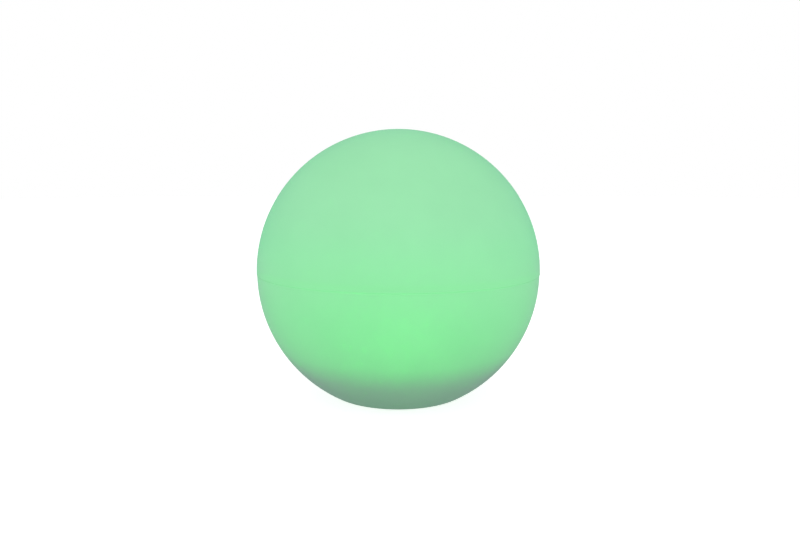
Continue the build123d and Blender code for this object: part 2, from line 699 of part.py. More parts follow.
with BuildPart() as led_packages:
    for circle, count in ((LED_OUTER_CIRCLE, LED_OUTER_COUNT), (LED_INNER_CIRCLE, LED_INNER_COUNT)):
        with BuildSketch(Plane.XY.offset(led_board_top)):
            with PolarLocations(circle, count, start_angle=180 / LED_OUTER_COUNT):
                Rectangle(LED_SIZE, LED_SIZE)
        extrude(amount=LED_HEIGHT)
        with BuildSketch(Plane.XY.offset(led_board_top + LED_HEIGHT)):
            with PolarLocations(circle, count, start_angle=180 / LED_OUTER_COUNT):
                Circle(LED_WINDOW_RADIUS)
        extrude(amount=-LED_WINDOW_DEPTH, mode=Mode.SUBTRACT)

with BuildPart() as led_board_screws:
    pan_screws(led_screw_spots, led_board_top, 1, M25_PAN, LED_SCREW_LENGTH)

# Frosted lens over the lights
with BuildPart() as lens_dome:
    with BuildSketch(Plane.XZ):
        with BuildLine():
            under = CenterArc((0, lens_centre), lens_radius, 90 - lens_angle, lens_angle)
            over = CenterArc((0, lens_centre), lens_radius + LENS_WALL, 90 - lens_edge_angle, lens_edge_angle)
            Line(under @ 0, over @ 0)
            Line(under @ 1, over @ 1)
        make_face()
    revolve(axis=Axis.Z)
    with BuildSketch(Plane.XY.offset(lens_bottom)):
        band(lens_bore, lens_flange_radius)
        with Locations(*lens_screw_spots):
            Circle(M2_PAN.shank + SCREW_CLEARANCE, mode=Mode.SUBTRACT)
    extrude(amount=LENS_FLANGE_THICK)

with BuildPart() as lens_gasket:
    with BuildSketch(Plane.XY.offset(deck_top)):
        band(lens_bore, lens_flange_radius)
        with Locations(*lens_screw_spots):
            Circle(M2_PAN.shank + SCREW_CLEARANCE, mode=Mode.SUBTRACT)
    extrude(amount=LENS_GASKET_THICK)

with BuildPart() as lens_screws:
    pan_screws(lens_screw_spots, lens_flange_top, 1, M2_PAN, LENS_SCREW_LENGTH)

# Battery pack: two cells, welded tabs, protection board, foam pad and the strap that holds them up
with BuildPart() as battery_cells:
    for side in (-1, 1):
        with Locations((0, side * cell_y, cell_height)):
            Cylinder(CELL_RADIUS, CELL_LENGTH, rotation=(0, 90, 0))
    fillet(battery_cells.edges().filter_by(GeomType.CIRCLE), CELL_EDGE)
    for side in (-1, 1):
        with Locations((CELL_LENGTH / 2, side * cell_y, cell_height)):
            Cylinder(CELL_NUB_RADIUS, CELL_NUB_HEIGHT, rotation=(0, 90, 0), align=ON_TOP)

with BuildPart() as battery_tabs:
    with BuildSketch(Plane.XY.offset(cell_height - TAB_WIDTH / 2)):
        with BuildLine():
            Polyline(
                (plus_end, -cell_y - CELL_NUB_RADIUS),
                (plus_end + TAB_THICK, -cell_y - CELL_NUB_RADIUS),
                (plus_end + TAB_THICK, tab_outside),
                (PROTECTION_START + PROTECTION_LENGTH - TAB_SOLDER_LENGTH, tab_outside),
                (PROTECTION_START + PROTECTION_LENGTH - TAB_SOLDER_LENGTH, tab_side),
                (plus_end, tab_side),
                close=True,
            )
        make_face()
        with BuildLine():
            Polyline(
                (-CELL_LENGTH / 2, -cell_y - CELL_NUB_RADIUS),
                (-CELL_LENGTH / 2 - TAB_THICK, -cell_y - CELL_NUB_RADIUS),
                (-CELL_LENGTH / 2 - TAB_THICK, tab_outside),
                (PROTECTION_START + TAB_SOLDER_LENGTH, tab_outside),
                (PROTECTION_START + TAB_SOLDER_LENGTH, tab_side),
                (-CELL_LENGTH / 2, tab_side),
                close=True,
            )
        make_face()
    extrude(amount=TAB_WIDTH)

with BuildPart() as protection_board:
    with Locations((PROTECTION_START, tab_outside, cell_height)):
        Box(
            PROTECTION_LENGTH,
            PROTECTION_THICK,
            PROTECTION_HEIGHT,
            align=(Align.MIN, Align.MIN, Align.CENTER),
        )

with BuildPart() as battery_pad:
    with BuildSketch(Plane.XY.offset(deck_bottom)):
        Rectangle(PAD_LENGTH, PAD_WIDTH)
    extrude(amount=-PAD_THICK)

with BuildPart() as battery_clamp:
    with BuildSketch(Plane.XY.offset(strap_bottom)):
        with Locations((STRAP_X, 0)):
            Rectangle(STRAP_WIDTH, 2 * strap_side)
    extrude(amount=STRAP_THICK)
    for side in (-1, 1):
        with Locations((STRAP_X, side * (strap_leg + strap_side) / 2, strap_bottom)):
            Box(STRAP_WIDTH, STRAP_THICK, ear_top - strap_bottom, align=ON_TOP)
        with Locations((STRAP_X, side * (strap_leg + STRAP_EAR / 2 + STRAP_THICK / 2), ear_bottom)):
            Box(STRAP_WIDTH, STRAP_EAR + STRAP_THICK, STRAP_THICK, align=ON_TOP)
    screw_holes(clamp_spots, ear_bottom, 1, M2_PAN.shank + SCREW_CLEARANCE, STRAP_THICK)

with BuildPart() as clamp_screws:
    pan_screws(clamp_spots, ear_bottom, -1, M2_PAN, CLAMP_SCREW_LENGTH)

# Control board and what is soldered to it
with BuildPart() as control_board:
    with BuildSketch(Plane.XY.offset(board_bottom)):
        Circle(board_radius)
        with Locations(*standoff_spots):
            Circle(M2_PAN.shank + SCREW_CLEARANCE, mode=Mode.SUBTRACT)
        with Locations((0, PORT_Y)):
            SlotOverall(
                SOCKET_WIDTH + 2 * SOCKET_BOARD_GAP, SOCKET_DEPTH + 2 * SOCKET_BOARD_GAP, mode=Mode.SUBTRACT
            )
    extrude(amount=BOARD_THICK)

with BuildPart() as board_screws:
    pan_screws(standoff_spots, board_top, 1, M2_PAN, BOARD_SCREW_LENGTH)

# Parts under the board
with BuildPart() as board_parts:
    with Locations((COIL_X, COIL_Y, board_bottom)):
        Box(COIL_SIZE, COIL_SIZE, COIL_HEIGHT, align=BELOW)
    with Locations((CONTROLLER_X, CONTROLLER_Y, board_bottom)):
        Box(CONTROLLER_LENGTH, CONTROLLER_WIDTH, CONTROLLER_HEIGHT, align=BELOW)
    with Locations((CHARGER_X, CHARGER_Y, board_bottom)):
        Box(CHARGER_SIZE, CHARGER_SIZE, CHARGER_HEIGHT, align=BELOW)
    with Locations((DRIVER_X, DRIVER_Y, board_bottom)):
        with GridLocations(DRIVER_PITCH, DRIVER_PITCH, 2, 2):
            Box(DRIVER_SIZE, DRIVER_SIZE, DRIVER_HEIGHT, align=BELOW)
    with Locations((RESISTOR_X, RESISTOR_Y, board_bottom)):
        with GridLocations(RESISTOR_PITCH, 0, RESISTOR_COUNT, 1):
            Box(RESISTOR_WIDTH, RESISTOR_LENGTH, RESISTOR_HEIGHT, align=BELOW)
    with Locations((CAPACITOR_X, CAPACITOR_Y, board_bottom)):
        with GridLocations(CAPACITOR_PITCH, 0, CAPACITOR_COUNT, 1):
            Box(CAPACITOR_WIDTH, CAPACITOR_LENGTH, CAPACITOR_HEIGHT, align=BELOW)
    with Locations((PIPE_X, 0, board_bottom)):
        Box(INDICATOR_LENGTH, INDICATOR_WIDTH, INDICATOR_HEIGHT, align=BELOW)

with BuildPart() as wire_headers:
    with Locations((LED_HEADER_X, -header_y, board_top)):
        Box(LED_HEADER_LENGTH, HEADER_DEPTH, HEADER_HEIGHT, align=ON_TOP)
    with Locations((BATTERY_HEADER_X, header_y, board_top)):
        Box(BATTERY_HEADER_LENGTH, HEADER_DEPTH, HEADER_HEIGHT, align=ON_TOP)

# Leads: five wires up to the light board, two from the battery's protection board
with BuildPart() as led_lead:
    for x in led_wire_places:
        wire(
            [
                (x, -header_y, header_top),
                (x, -header_y, header_top + LED_WIRE_RISE),
                (x, led_wire_y, header_top + LED_WIRE_RISE + LED_WIRE_SLANT),
                (x, led_wire_y, led_board_top + LED_WIRE_LOOP),
                (x, led_wire_y + LED_WIRE_BACK, led_board_top + LED_WIRE_LOOP),
                (x, led_wire_y + LED_WIRE_BACK, led_board_top),
            ],
            LED_WIRE_BEND,
            LED_WIRE_RADIUS,
        )

with BuildPart() as battery_lead:
    for x in battery_wire_places:
        wire(
            [
                (x, tab_outside + PROTECTION_THICK, cell_height),
                (x, header_y, cell_height),
                (x, header_y, header_top),
            ],
            BATTERY_WIRE_BEND,
            BATTERY_WIRE_RADIUS,
        )

# Push switch under the board, its stem and the button that presses it
with BuildPart() as tact_switch:
    with Locations((0, BUTTON_Y, switch_bottom)):
        Box(SWITCH_SIZE, SWITCH_SIZE, board_bottom - switch_bottom, align=ON_TOP)
        Cylinder(
            STEM_RADIUS + STEM_CLEARANCE,
            STEM_ENGAGE + BUTTON_TRAVEL + STEM_TOP_GAP,
            align=ON_TOP,
            mode=Mode.SUBTRACT,
        )

with BuildPart() as switch_stem:
    with Locations((0, BUTTON_Y, button_top)):
        Cylinder(STEM_RADIUS, stem_top - button_top, align=ON_TOP)

with BuildPart() as power_button:
    with Locations((0, BUTTON_Y, button_face)):
        Cylinder(BUTTON_RADIUS, button_top - button_face, align=ON_TOP)
    fillet(power_button.edges().group_by(Axis.Z)[0], BUTTON_EDGE)
    with Locations((0, BUTTON_Y, button_lip_bottom)):
        Cylinder(BUTTON_RADIUS + BUTTON_LIP, BUTTON_LIP_THICK, align=ON_TOP)

# Charging socket, open downward, and the contact tongue inside it
with BuildPart() as charge_socket:
    with BuildSketch(Plane.XY.offset(socket_mouth)):
        with Locations((0, PORT_Y)):
            SlotOverall(SOCKET_WIDTH, SOCKET_DEPTH)
    extrude(amount=SOCKET_LENGTH)
    with Locations((0, PORT_Y, board_bottom)):
        Box(SOCKET_WIDTH + 2 * SOCKET_TAB_REACH, SOCKET_TAB_WIDTH, SOCKET_WALL, align=BELOW)
    with BuildSketch(Plane.XY.offset(socket_mouth)):
        with Locations((0, PORT_Y)):
            SlotOverall(SOCKET_WIDTH - 2 * SOCKET_WALL, SOCKET_DEPTH - 2 * SOCKET_WALL)
    extrude(amount=SOCKET_LENGTH - SOCKET_WALL, mode=Mode.SUBTRACT)

with BuildPart() as socket_tongue:
    with BuildSketch(Plane.XY.offset(socket_back - SOCKET_WALL)):
        with Locations((0, PORT_Y)):
            SlotOverall(
                SOCKET_WIDTH - 2 * SOCKET_WALL - 2 * CONTACT_CLEARANCE,
                SOCKET_DEPTH - 2 * SOCKET_WALL - 2 * CONTACT_CLEARANCE,
            )
    extrude(amount=-CONTACT_BLOCK)
    with BuildSketch(Plane.XY.offset(socket_back - SOCKET_WALL)):
        with Locations((0, PORT_Y)):
            Rectangle(CONTACT_WIDTH, CONTACT_PLATE)
    extrude(amount=-(SOCKET_LENGTH - SOCKET_WALL - CONTACT_SINK))

with BuildPart() as charge_light_pipe:
    with Locations((PIPE_X, 0, COVER_LIFT)):
        Cylinder(PIPE_RADIUS, board_bottom - PIPE_BOARD_GAP - COVER_LIFT, align=ON_TOP)
    with Locations((PIPE_X, 0, cover_top)):
        Cylinder(PIPE_RADIUS + PIPE_LIP, PIPE_LIP_THICK, align=ON_TOP)

# Door over the charging port, on two stubs, with a soft plug inside it
with BuildPart() as port_door:
    with Locations((0, (hinge_y + LINK_REACH + door_tip) / 2, COVER_LIFT)):
        Box(2 * DOOR_HALF_WIDTH, door_tip - hinge_y - LINK_REACH, DOOR_THICK, align=ON_TOP)
    with Locations((0, hinge_y, COVER_LIFT)):
        Box(
            2 * LINK_HALF_WIDTH,
            LINK_REACH + DOOR_GAP,
            DOOR_THICK,
            align=(Align.CENTER, Align.MIN, Align.MIN),
        )
    with Locations((0, hinge_y, hinge_z)):
        Cylinder(BARREL_RADIUS, 2 * BARREL_HALF_LENGTH, rotation=(0, 90, 0))
        Cylinder(STUB_RADIUS, 2 * (BARREL_HALF_LENGTH + STUB_LENGTH), rotation=(0, 90, 0))

with BuildPart() as port_seal:
    with BuildSketch(Plane.XY.offset(door_top)):
        with Locations((0, PORT_Y)):
            SlotOverall(port_width - 2 * PLUG_CLEARANCE, port_depth - 2 * PLUG_CLEARANCE)
    extrude(amount=PLUG_HEIGHT)

pieces = {
    "upper_globe": upper_globe,
    "lower_globe": lower_globe,
    "bayonet_ring": bayonet_ring,
    "ring_screws": ring_screws,
    "module_housing": module_housing,
    "module_seal": module_seal,
    "base_cover": base_cover,
    "cover_gasket": cover_gasket,
    "cover_screws": cover_screws,
    "heat_spreader": heat_spreader,
    "led_board": led_board,
    "led_packages": led_packages,
    "led_board_screws": led_board_screws,
    "lens_dome": lens_dome,
    "lens_gasket": lens_gasket,
    "lens_screws": lens_screws,
    "battery_cells": battery_cells,
    "battery_tabs": battery_tabs,
    "protection_board": protection_board,
    "battery_pad": battery_pad,
    "battery_clamp": battery_clamp,
    "clamp_screws": clamp_screws,
    "control_board": control_board,
    "board_screws": board_screws,
    "board_parts": board_parts,
    "wire_headers": wire_headers,
    "led_lead": led_lead,
    "battery_lead": battery_lead,
    "tact_switch": tact_switch,
    "switch_stem": switch_stem,
    "power_button": power_button,
    "charge_socket": charge_socket,
    "socket_tongue": socket_tongue,
    "charge_light_pipe": charge_light_pipe,
    "port_door": port_door,
    "port_seal": port_seal,
}

os.makedirs("parts", exist_ok=True)
for name, piece in pieces.items():
    piece.part.label = name
    export_step(piece.part, f"parts/{name}.step")
    print(name, len(piece.part.solids()), round(piece.part.volume, 1))
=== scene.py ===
# %% [markdown]
# # A cordless ball lamp
# The lamp is a translucent ball that stands on a flat base, with a light module that twists out
# from below. The solid model already holds every piece in its true place, so this lesson is about
# finishes: a skin that glows from inside, and the plastics, seals, metals and boards behind it. A
# few small pieces that show only as marks or fillings are modelled here too.

from math import cos, pi, radians, sin

import bmesh
import bpy
from mathutils import Matrix, Vector


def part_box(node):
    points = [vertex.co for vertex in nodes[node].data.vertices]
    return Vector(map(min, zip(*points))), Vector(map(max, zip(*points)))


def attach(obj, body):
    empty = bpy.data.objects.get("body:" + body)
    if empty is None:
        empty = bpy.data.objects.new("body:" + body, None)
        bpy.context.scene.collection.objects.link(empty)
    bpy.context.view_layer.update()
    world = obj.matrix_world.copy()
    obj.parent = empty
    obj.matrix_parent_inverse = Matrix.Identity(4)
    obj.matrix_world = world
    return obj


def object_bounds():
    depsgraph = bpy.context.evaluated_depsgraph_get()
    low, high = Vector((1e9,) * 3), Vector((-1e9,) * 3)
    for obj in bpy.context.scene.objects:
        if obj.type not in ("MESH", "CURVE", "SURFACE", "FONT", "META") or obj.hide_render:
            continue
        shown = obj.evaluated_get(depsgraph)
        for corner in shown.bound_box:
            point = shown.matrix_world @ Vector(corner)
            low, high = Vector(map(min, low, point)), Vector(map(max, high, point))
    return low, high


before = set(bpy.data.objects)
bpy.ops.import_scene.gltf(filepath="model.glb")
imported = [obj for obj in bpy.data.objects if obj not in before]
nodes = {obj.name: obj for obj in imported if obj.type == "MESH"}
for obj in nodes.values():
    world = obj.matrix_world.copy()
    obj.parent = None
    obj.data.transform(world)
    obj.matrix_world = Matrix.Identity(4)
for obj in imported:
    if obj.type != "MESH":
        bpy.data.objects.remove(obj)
solid_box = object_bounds()
print("pieces in the frame:", len(nodes))
print("solid box:", [tuple(round(value, 4) for value in corner) for corner in solid_box])

# %% [markdown]
# ## Helpers for finishes
# Every finish is one Principled shader. Values that are the same all over are set on the shader's
# own sockets, and the rest comes from procedural textures on Object coordinates, so a pattern keeps
# its real size on every piece. The first helper makes a material with its plain values.

# %% Make a material


def make_finish(name, **inputs):
    """A material with one Principled shader, whose own sockets get the values."""
    material = bpy.data.materials.new(name)
    material.use_nodes = True
    shader = material.node_tree.nodes["Principled BSDF"]
    for label, value in inputs.items():
        shader.inputs[label.replace("_", " ")].default_value = value
    return material


# %% [markdown]
# A texture is a chain of nodes. One helper adds a node with its settings, values and links, and one
# links the end of a chain to the shader. Two more start a chain from Object coordinates and do one
# step of arithmetic in it.

# %% Wire nodes into it


def add_node(material, kind, links=(), values=(), **settings):
    """Adds a node; links are (input, socket) pairs and values are (input, value) pairs."""
    node = material.node_tree.nodes.new("ShaderNode" + kind)
    for label, value in settings.items():
        setattr(node, label, value)
    for label, value in values:
        node.inputs[label].default_value = value
    for label, socket in links:
        material.node_tree.links.new(socket, node.inputs[label])
    return node


def feed(material, label, socket):
    """Links a socket to the material's Principled shader."""
    shader = material.node_tree.nodes["Principled BSDF"]
    material.node_tree.links.new(socket, shader.inputs[label])


def place_of(material):
    """Object coordinates, in metres from the middle of the base."""
    return add_node(material, "TexCoord").outputs["Object"]


def math_step(material, operation, first, second=0.0):
    """One Math node on one or two inputs, each a socket or a plain number."""
    node = add_node(material, "Math", operation=operation)
    for slot, value in enumerate((first, second)):
        if isinstance(value, bpy.types.NodeSocket):
            material.node_tree.links.new(value, node.inputs[slot])
        else:
            node.inputs[slot].default_value = value
    return node.outputs[0]


# %% [markdown]
# No moulded, plated or printed surface is quite even, so most finishes here read a cloudy noise.
# Nearly all its values lie between two limits, and a finish spreads that range over its own shades.
# A colour ramp does this for colours, and a helper fills the ramp from a table.

# %% Cloudy noise
NOISE_LOW, NOISE_HIGH = 0.3, 0.7


def set_stops(ramp, stops):
    """Sets a colour ramp's stops from a table of place and colour, lowest first."""
    elements = ramp.color_ramp.elements
    for index, (place, colour) in enumerate(stops.items()):
        if index >= len(elements):
            elements.new(place)
        elements[index].position = place
        elements[index].color = (*colour, 1.0)


def speckle(material, size):
    """A cloudy noise whose grains are about the given size in metres."""
    return add_node(
        material,
        "TexNoise",
        links=[("Vector", place_of(material))],
        values=[("Scale", 1.0 / size), ("Detail", 3.0), ("Roughness", 0.55)],
    ).outputs["Fac"]


# %% [markdown]
# Three helpers use that noise for what the eye reads as a real material: a grain that lifts the
# surface, a colour that drifts between two close shades and a polish that drifts between two values
# of roughness. A fourth puts a finish on pieces and leaves their shape and place alone.

# %% Grain, mottle and polish


def add_grain(material, size, depth, strength=0.35):
    """A moulded or cast grain: the noise lifts the surface by the given depth in metres."""
    bump = add_node(
        material,
        "Bump",
        links=[("Height", speckle(material, size))],
        values=[("Strength", strength), ("Distance", depth)],
    )
    feed(material, "Normal", bump.outputs["Normal"])


def add_mottle(material, size, low, high):
    """Colour that drifts between two close shades."""
    ramp = add_node(material, "ValToRGB", links=[("Fac", speckle(material, size))])
    set_stops(ramp, {NOISE_LOW: low, NOISE_HIGH: high})
    feed(material, "Base Color", ramp.outputs["Color"])


def add_polish(material, size, low, high):
    """Roughness that drifts between two values, as handling and moulding leave it."""
    spread = add_node(
        material,
        "MapRange",
        links=[("Value", speckle(material, size))],
        values=[
            ("From Min", NOISE_LOW),
            ("From Max", NOISE_HIGH),
            ("To Min", low),
            ("To Max", high),
        ],
    )
    feed(material, "Roughness", spread.outputs["Result"])


def dress(material, *names):
    """Gives the finish to solids by name."""
    for name in names:
        nodes[name].data.materials.clear()
        nodes[name].data.materials.append(material)
    print(material.name, "on", ", ".join(names))


# %% [markdown]
# ## The glowing skin
# The ball is two moulded halves of milky plastic, about three millimetres thick, lit from inside. A
# real lamp behind a wall that scatters would need many samples to look calm, so the wall gives off
# most of the light itself. How much, and in which green, depends on the height above the table:
# faint on the lowest band, which the module's housing shades, strongest above it, and paler towards
# the top. A colour ramp holds a green for five heights, each tied to the lens, the seam or the top.

# %% Greens by height
BALL_TOP = solid_box[1][2]
SEAM_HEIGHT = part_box("upper_globe")[0].z
lens_low, lens_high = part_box("lens_dome")
SHADE_TOP = lens_low.z - 0.005
LENS_LEVEL = lens_high.z - 0.004
BELOW_SEAM = SEAM_HEIGHT - 0.010
ABOVE_SEAM = SEAM_HEIGHT + 0.040
SHOULDER = BALL_TOP - 0.020
GLOW_BY_HEIGHT = {
    SHADE_TOP: (0.095, 0.25, 0.12),
    LENS_LEVEL: (0.10, 0.46, 0.14),
    BELOW_SEAM: (0.12, 0.53, 0.17),
    ABOVE_SEAM: (0.16, 0.465, 0.20),
    SHOULDER: (0.15, 0.41, 0.17),
}
print("glow levels:", [round(level, 3) for level in GLOW_BY_HEIGHT])

# %% [markdown]
# Two more things make it look lit from inside. A fifth of the light passes the wall, blurred by its
# roughness, so the bright lens shows as a soft patch from every side. And a tinted coat takes a
# little away where the wall is seen aslant, because that light has come through more plastic.

# %% Glow and tint
TINT_BY_HEIGHT = {BELOW_SEAM: (1.0, 0.935, 1.0), ABOVE_SEAM: (0.935, 0.955, 0.97)}

ball_skin = make_finish(
    "glowing_ball_skin",
    Roughness=0.8,
    IOR=1.5,
    Transmission_Weight=0.2,
    Specular_IOR_Level=0.02,
    Coat_Weight=1.0,
    Coat_Roughness=0.6,
    Coat_IOR=1.02,
    Emission_Strength=1.0,
)
skin_place = add_node(ball_skin, "SeparateXYZ", links=[("Vector", place_of(ball_skin))])
skin_height = skin_place.outputs["Z"]


def colour_by_height(stops, blending):
    """A colour for each height on the ball, blended between the stops."""
    share = math_step(ball_skin, "DIVIDE", skin_height, BALL_TOP)
    ramp = add_node(ball_skin, "ValToRGB", links=[("Fac", share)])
    ramp.color_ramp.interpolation = blending
    set_stops(ramp, {level / BALL_TOP: colour for level, colour in stops.items()})
    return ramp.outputs["Color"]


glow = colour_by_height(GLOW_BY_HEIGHT, "CARDINAL")
tint = colour_by_height(TINT_BY_HEIGHT, "EASE")
print("skin with", len(GLOW_BY_HEIGHT), "glow stops and", len(TINT_BY_HEIGHT), "tint stops")

# %% [markdown]
# ## The seam
# The halves meet in a bevelled joint with a step of less than half a millimetre. A joint that only
# reflects would be a dark line all round, but here light leaks out of it and hides it, except near
# the outline, where the eye meets the joint aslant. So within a millimetre of the seam the glow is
# a little stronger and the coat's tint a little deeper: seen straight on, the two cancel out, and
# seen aslant, the tint wins. A helper blends two colours by a share.

# %% Light at the seam
SEAM_REACH = 0.0008
SEAM_LEAK = 0.29
SEAM_TINT = (0.93, 0.88, 0.935)


def blend_colours(material, share, low, high):
    """A blend of two colours by a share from 0 to 1; each is a socket or a plain colour."""
    mix = add_node(material, "Mix", data_type="RGBA")
    material.node_tree.links.new(share, mix.inputs[0])
    for socket, colour in ((mix.inputs[6], low), (mix.inputs[7], high)):
        if isinstance(colour, bpy.types.NodeSocket):
            material.node_tree.links.new(colour, socket)
        else:
            socket.default_value = (*colour, 1.0)
    return mix.outputs[2]


from_seam = math_step(ball_skin, "SUBTRACT", skin_height, SEAM_HEIGHT)
near_seam = add_node(
    ball_skin,
    "MapRange",
    links=[("Value", math_step(ball_skin, "ABSOLUTE", from_seam))],
    values=[("From Max", SEAM_REACH), ("To Min", 1.0), ("To Max", 0.0)],
    interpolation_type="SMOOTHSTEP",
).outputs["Result"]
gain = math_step(ball_skin, "ADD", math_step(ball_skin, "MULTIPLY", near_seam, SEAM_LEAK), 1.0)
feed(ball_skin, "Coat Tint", blend_colours(ball_skin, near_seam, tint, SEAM_TINT))
print("seam at", round(SEAM_HEIGHT, 4), "glows", SEAM_LEAK, "more")

# %% [markdown]
# Above the seam, a tongue of the lower half stands behind the wall. It holds back the lens's green
# and throws white light back out, which would draw a line of its own, so there the glow is a touch
# greener. The change fades out above the tongue, where its shadow on the wall ends.

# %% Light above the seam
TONGUE_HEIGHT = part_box("lower_globe")[1].z - SEAM_HEIGHT
FADE_START, FADE_END = 0.75 * TONGUE_HEIGHT, 2.0 * TONGUE_HEIGHT
TONGUE_GREEN = (0.94, 1.04, 0.94)
UNCHANGED = (1.0, 1.0, 1.0)

over_tongue = add_node(
    ball_skin,
    "MapRange",
    links=[("Value", from_seam)],
    values=[("From Min", FADE_START), ("From Max", FADE_END), ("To Min", 1.0), ("To Max", 0.0)],
    interpolation_type="SMOOTHSTEP",
).outputs["Result"]
above_seam = math_step(ball_skin, "GREATER_THAN", from_seam, 0.0)
tongue_share = math_step(ball_skin, "MULTIPLY", over_tongue, above_seam)
greener = blend_colours(ball_skin, tongue_share, UNCHANGED, TONGUE_GREEN)
wall_glow = add_node(ball_skin, "VectorMath", links=[(0, glow), (1, greener)], operation="MULTIPLY")
seam_glow = add_node(
    ball_skin, "VectorMath", links=[(0, wall_glow.outputs[0]), (1, gain)], operation="MULTIPLY"
)
feed(ball_skin, "Emission Color", seam_glow.outputs[0])
print("tongue height:", round(TONGUE_HEIGHT, 4))

# %% [markdown]
# A fine moulded grain and a slight drift of colour finish the skin, and it goes on both halves of
# the ball. The drift is the plastic's own, but its green is painted light: the plastic is milky
# white, and the green is what the lamp's own glow gives it.

# %% The skin's grain
# The green of this base colour is painted light from the lamp's glow; the plastic is white.
add_mottle(ball_skin, size=0.05, low=(0.235, 0.40, 0.30), high=(0.25, 0.42, 0.315))
add_grain(ball_skin, size=0.0006, depth=0.00004, strength=0.3)
dress(ball_skin, "upper_globe", "lower_globe")

# %% [markdown]
# ## Moulded plastics
# The housing, the bayonet ring and the battery clamp are injection moulded in white plastic. The
# cover and its little door are the underside that hands and tables meet: a light grey with a deeper
# spark-eroded grain, which hides scratches. Modelling grains this small would take millions of
# faces, so a bump gives them.

# %% White housing and grey cover
housing_plastic = make_finish("housing_plastic", Specular_IOR_Level=0.4)
add_mottle(housing_plastic, size=0.02, low=(0.80, 0.80, 0.78), high=(0.86, 0.86, 0.84))
add_polish(housing_plastic, size=0.006, low=0.42, high=0.58)
add_grain(housing_plastic, size=0.0004, depth=0.00003)
dress(housing_plastic, "bayonet_ring", "module_housing", "battery_clamp")

cover_plastic = make_finish("cover_plastic", Specular_IOR_Level=0.4)
add_mottle(cover_plastic, size=0.012, low=(0.68, 0.69, 0.68), high=(0.72, 0.73, 0.72))
add_polish(cover_plastic, size=0.004, low=0.5, high=0.68)
add_grain(cover_plastic, size=0.0003, depth=0.00005, strength=0.5)
dress(cover_plastic, "base_cover", "port_door")

# %% [markdown]
# ## Soft seals and the button
# The seals and the button are silicone: darker, rougher and a little dusty. Silicone shows almost
# no highlight, so its specular level is low, and the button has a trace of sheen, the pale bloom of
# a soft surface seen from the side.

# %% Silicone and rubber
silicone = make_finish("grey_silicone", Roughness=0.75, Specular_IOR_Level=0.3)
add_mottle(silicone, size=0.004, low=(0.26, 0.27, 0.28), high=(0.33, 0.34, 0.35))
add_grain(silicone, size=0.0005, depth=0.00003)
dress(silicone, "module_seal", "cover_gasket", "lens_gasket", "port_seal")

button_rubber = make_finish("button_rubber", Roughness=0.7, Sheen_Weight=0.15, Sheen_Roughness=0.5)
add_mottle(button_rubber, size=0.003, low=(0.30, 0.32, 0.32), high=(0.36, 0.38, 0.38))
add_grain(button_rubber, size=0.0003, depth=0.00003)
dress(button_rubber, "power_button")

# %% [markdown]
# ## Plastics on the boards
# Chips, the coil, the switch and the socket's tongue are black moulded plastic, and wire headers
# are ivory nylon. The pad over the cells is a thin foam whose pores hold shade, so its mottle is as
# fine as its grain, and its darker flecks are painted shade in the pores.

# %% Black, ivory and foam
black_plastic = make_finish("black_plastic", Roughness=0.5)
add_mottle(black_plastic, size=0.002, low=(0.020, 0.020, 0.022), high=(0.035, 0.035, 0.037))
add_grain(black_plastic, size=0.0003, depth=0.00003)
dress(black_plastic, "board_parts", "tact_switch", "switch_stem", "socket_tongue")

ivory_nylon = make_finish("ivory_nylon", Roughness=0.4)
add_mottle(ivory_nylon, size=0.002, low=(0.72, 0.66, 0.50), high=(0.78, 0.73, 0.58))
add_grain(ivory_nylon, size=0.0003, depth=0.00002)
dress(ivory_nylon, "wire_headers")

foam = make_finish("foam", Roughness=0.95, Specular_IOR_Level=0.1)
# The darker shade of this mottle is painted shade, standing for the shade in the foam's pores.
add_mottle(foam, size=0.0008, low=(0.03, 0.03, 0.032), high=(0.10, 0.10, 0.105))
add_grain(foam, size=0.0006, depth=0.0002, strength=0.8)
dress(foam, "battery_pad")

# %% [markdown]
# ## Screws, socket and strips
# The screws and the socket's shell are zinc plated steel, and the strips between the cells are
# nickel. Both are bright but not mirrors: the plating's crystals and the marks of the tool change
# the roughness over less than a millimetre, which breaks up the reflections.

# %% Plated metals
zinc_steel = make_finish("zinc_plated_steel", Metallic=1.0)
add_mottle(zinc_steel, size=0.0015, low=(0.40, 0.41, 0.42), high=(0.52, 0.52, 0.50))
add_polish(zinc_steel, size=0.0008, low=0.25, high=0.45)
add_grain(zinc_steel, size=0.0004, depth=0.00001)
dress(
    zinc_steel,
    "ring_screws",
    "cover_screws",
    "led_board_screws",
    "lens_screws",
    "clamp_screws",
    "board_screws",
    "charge_socket",
)

nickel_strip = make_finish("nickel_strip", Metallic=1.0)
add_mottle(nickel_strip, size=0.002, low=(0.50, 0.48, 0.44), high=(0.60, 0.58, 0.54))
add_polish(nickel_strip, size=0.001, low=0.2, high=0.4)
dress(nickel_strip, "battery_tabs")

# %% [markdown]
# ## The heat spreader
# Under the light board lies a disc of sheet aluminium. Rolling leaves fine lines in one direction,
# so a Mapping node squeezes the noise across the lines, and the roughness follows it.

# %% Rolled aluminium
LINES_SQUEEZE = (1.0, 40.0, 40.0)
LINES_SCALE = 90.0
ROLLED_LOW, ROLLED_HIGH = 0.28, 0.52

rolled_aluminium = make_finish("rolled_aluminium", Metallic=1.0)
squeezed = add_node(
    rolled_aluminium,
    "Mapping",
    links=[("Vector", place_of(rolled_aluminium))],
    values=[("Scale", LINES_SQUEEZE)],
)
rolling = add_node(
    rolled_aluminium,
    "TexNoise",
    links=[("Vector", squeezed.outputs["Vector"])],
    values=[("Scale", LINES_SCALE), ("Detail", 4.0)],
)
rolled_polish = add_node(
    rolled_aluminium,
    "MapRange",
    links=[("Value", rolling.outputs["Fac"])],
    values=[("To Min", ROLLED_LOW), ("To Max", ROLLED_HIGH)],
)
feed(rolled_aluminium, "Roughness", rolled_polish.outputs["Result"])
add_mottle(rolled_aluminium, size=0.01, low=(0.68, 0.69, 0.70), high=(0.76, 0.77, 0.78))
dress(rolled_aluminium, "heat_spreader")

